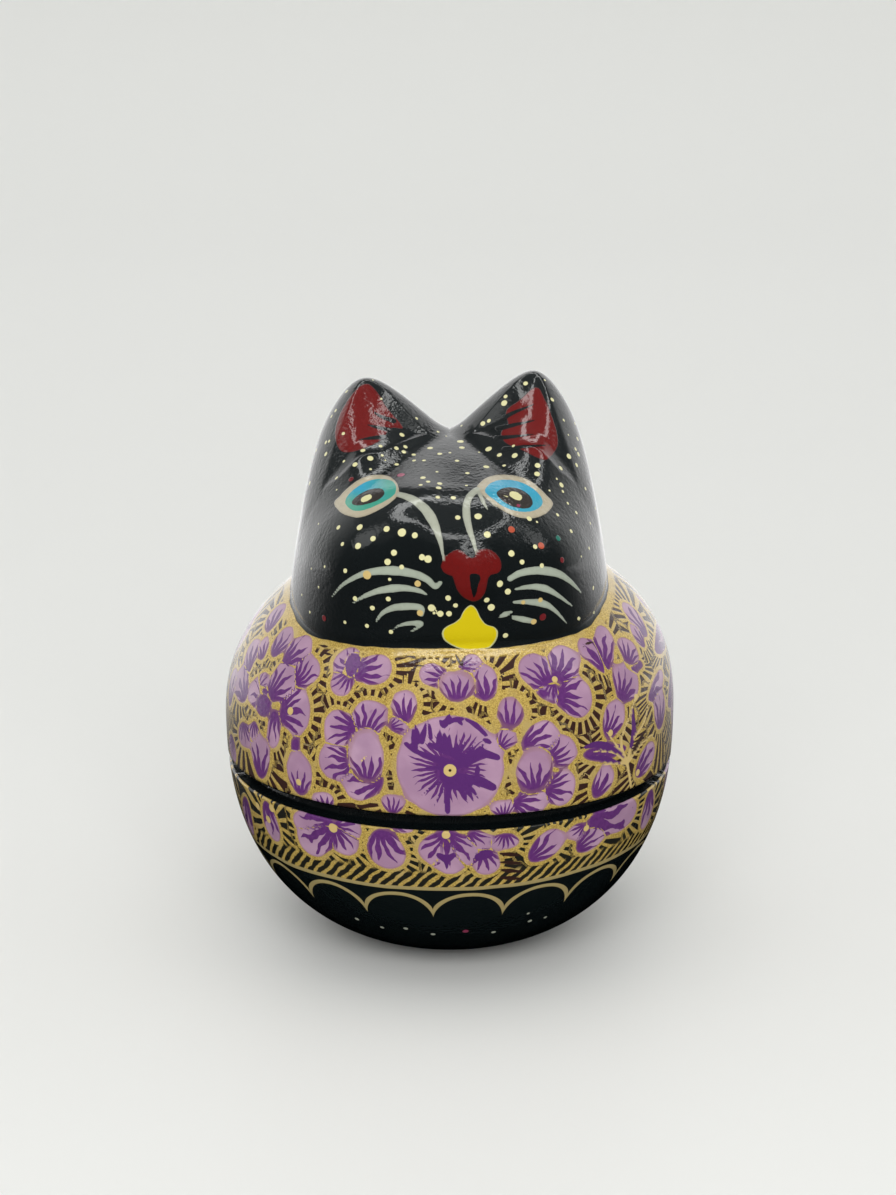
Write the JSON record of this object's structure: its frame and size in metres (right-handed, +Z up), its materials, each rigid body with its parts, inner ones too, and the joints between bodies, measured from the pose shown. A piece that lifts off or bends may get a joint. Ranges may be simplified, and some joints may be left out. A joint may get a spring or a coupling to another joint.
{
  "type": "papier-mache cat box",
  "caption": "Round lacquered papier-mache trinket box shaped as a sitting cat; the lid with the cat's head lifts off a bowl, and both are painted with pansies.",
  "frame": {"origin": "on the table under the middle of the bowl's flat foot", "axes": "+Z up through the cat's head, -Y the way the cat looks, +X towards the cat's left ear"},
  "size_m": [0.09, 0.09, 0.114],
  "materials": {
    "painted_bowl": "papier-mache, painted with lilac pansies and gold lines over black, clear gloss lacquer",
    "painted_lid": "papier-mache, black cat's head over lilac pansies on gold, clear gloss lacquer"
  },
  "bodies": {
    "root": {"base_bowl": "painted_bowl", "cat_lid": "painted_lid"}
  },
  "joints": []
}
